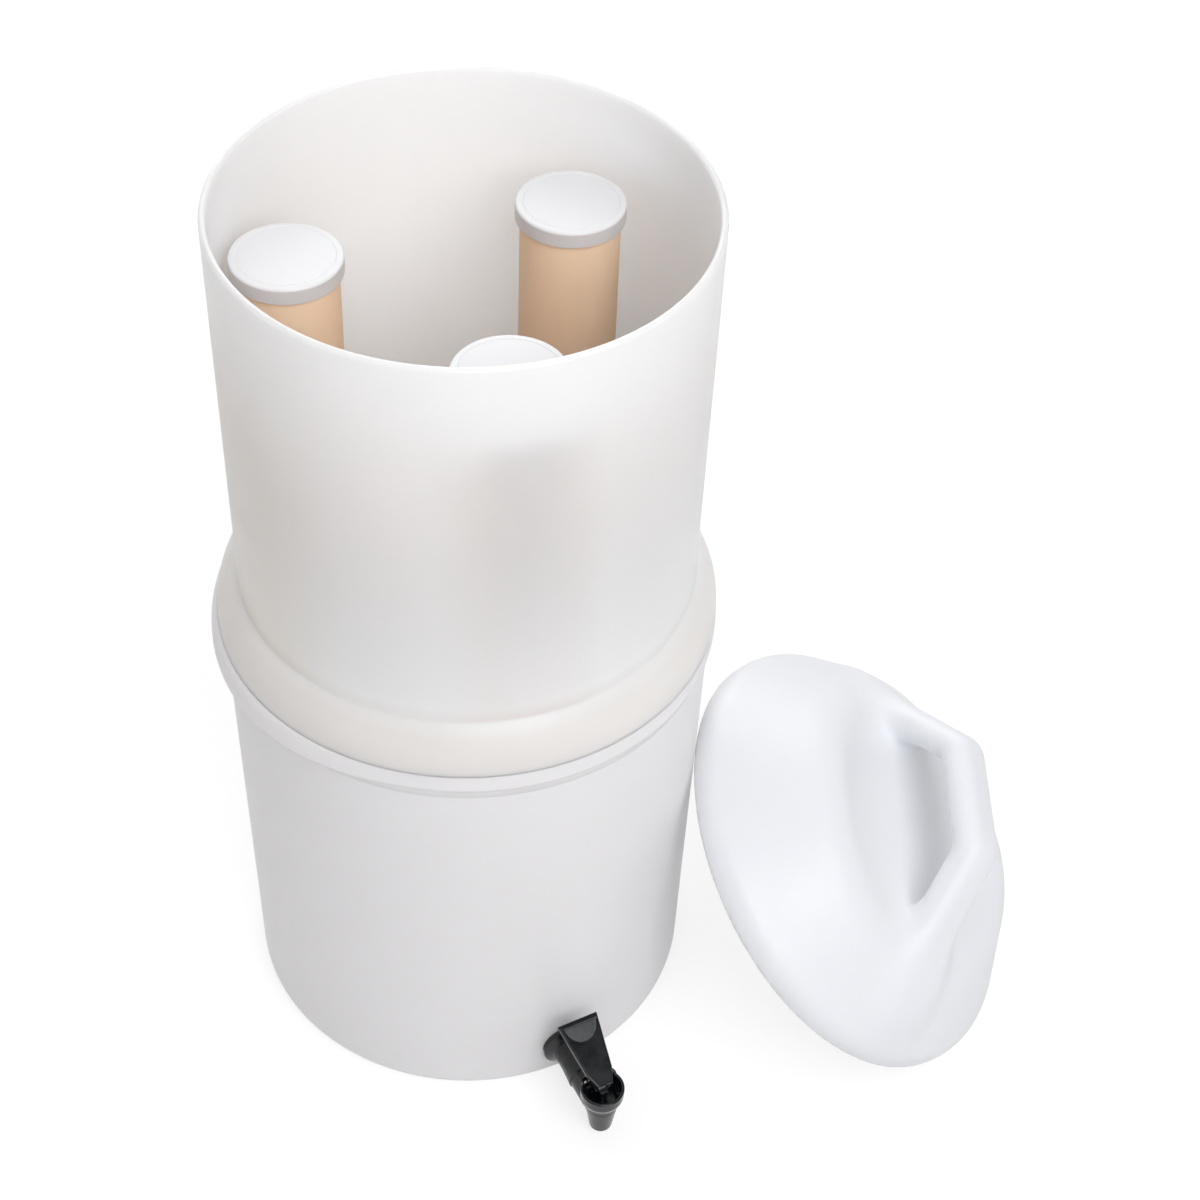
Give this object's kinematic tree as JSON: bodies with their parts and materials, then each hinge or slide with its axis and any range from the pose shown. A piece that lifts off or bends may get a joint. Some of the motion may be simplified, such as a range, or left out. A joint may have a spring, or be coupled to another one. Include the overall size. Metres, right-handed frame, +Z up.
{
  "type": "gravity water filter",
  "caption": "Free-standing gravity water filter: tub with ceramic candles on a clean-water container, with lever tap and domed lid with arch grip leaning beside it.",
  "frame": {"origin": "centre of the lower container's foot, on the surface that it stands on", "axes": "+Z up along the containers' common axis, -Y out of the front through the tap, +X to the side on which the lid leans"},
  "size_m": [0.4384, 0.3787, 0.529],
  "materials": {
    "lower_plastic": "satin moulded polypropylene, slightly see-through",
    "tub_plastic": "satin moulded polypropylene, see-through enough to show a shadow",
    "lid_plastic": "satin moulded polypropylene",
    "tap_plastic": "gloss moulded",
    "stem_plastic": "gloss moulded acetal",
    "rubber": "matt moulded",
    "steel": "drawn stainless wire and pin",
    "ceramic": "fired, fine-grained and unglazed",
    "cap_plastic": "satin moulded"
  },
  "bodies": {
    "lower": {"lower_container": "lower_plastic", "tap_body": "tap_plastic", "tap_bonnet": "tap_plastic", "tap_seal_disc": "rubber", "tap_pivot_pin": "steel", "tap_spring": "steel", "tap_outer_gasket": "rubber", "tap_inner_washer": "rubber", "tap_lock_nut": "tap_plastic"},
    "upper": {"upper_container": "tub_plastic", "ceramic_candle_1": "ceramic", "ceramic_candle_2": "ceramic", "ceramic_candle_3": "ceramic", "candle_cap_1": "cap_plastic", "candle_cap_2": "cap_plastic", "candle_cap_3": "cap_plastic", "candle_base_1": "cap_plastic", "candle_base_2": "cap_plastic", "candle_base_3": "cap_plastic", "candle_gasket_1": "rubber", "candle_gasket_2": "rubber", "candle_gasket_3": "rubber", "wing_nut_1": "cap_plastic", "wing_nut_2": "cap_plastic", "wing_nut_3": "cap_plastic"},
    "lever": {"tap_lever": "tap_plastic"},
    "stem": {"tap_stem": "stem_plastic", "tap_seat_plug": "rubber"},
    "lid": {"lid": "lid_plastic"}
  },
  "joints": [
    {"name": "upper_lift", "type": "slide", "parent": "lower", "child": "upper", "axis": [0, 0, 1], "range_m": [0, 0.12]},
    {"name": "lever_press", "type": "hinge", "parent": "lower", "child": "lever", "pos_m": [0, -0.16778, 0.0422], "axis": [-1, 0, 0], "range_deg": [0, 18], "stiffness_Nm_per_rad": 0.09, "springref_deg": -20.05},
    {"name": "stem_lift", "type": "slide", "parent": "lower", "child": "stem", "axis": [0, 0, 1], "range_m": [0, 0.0026], "deforming": ["tap_spring"]},
    {"name": "lid_lift", "type": "slide", "parent": "lower", "child": "lid", "axis": [0.5343, -0.4315, 0.7268], "range_m": [0, 0.25]}
  ],
  "couplings": [
    {"joint": "stem_lift", "follows": "lever_press", "m_per_rad": 0.0079}
  ]
}
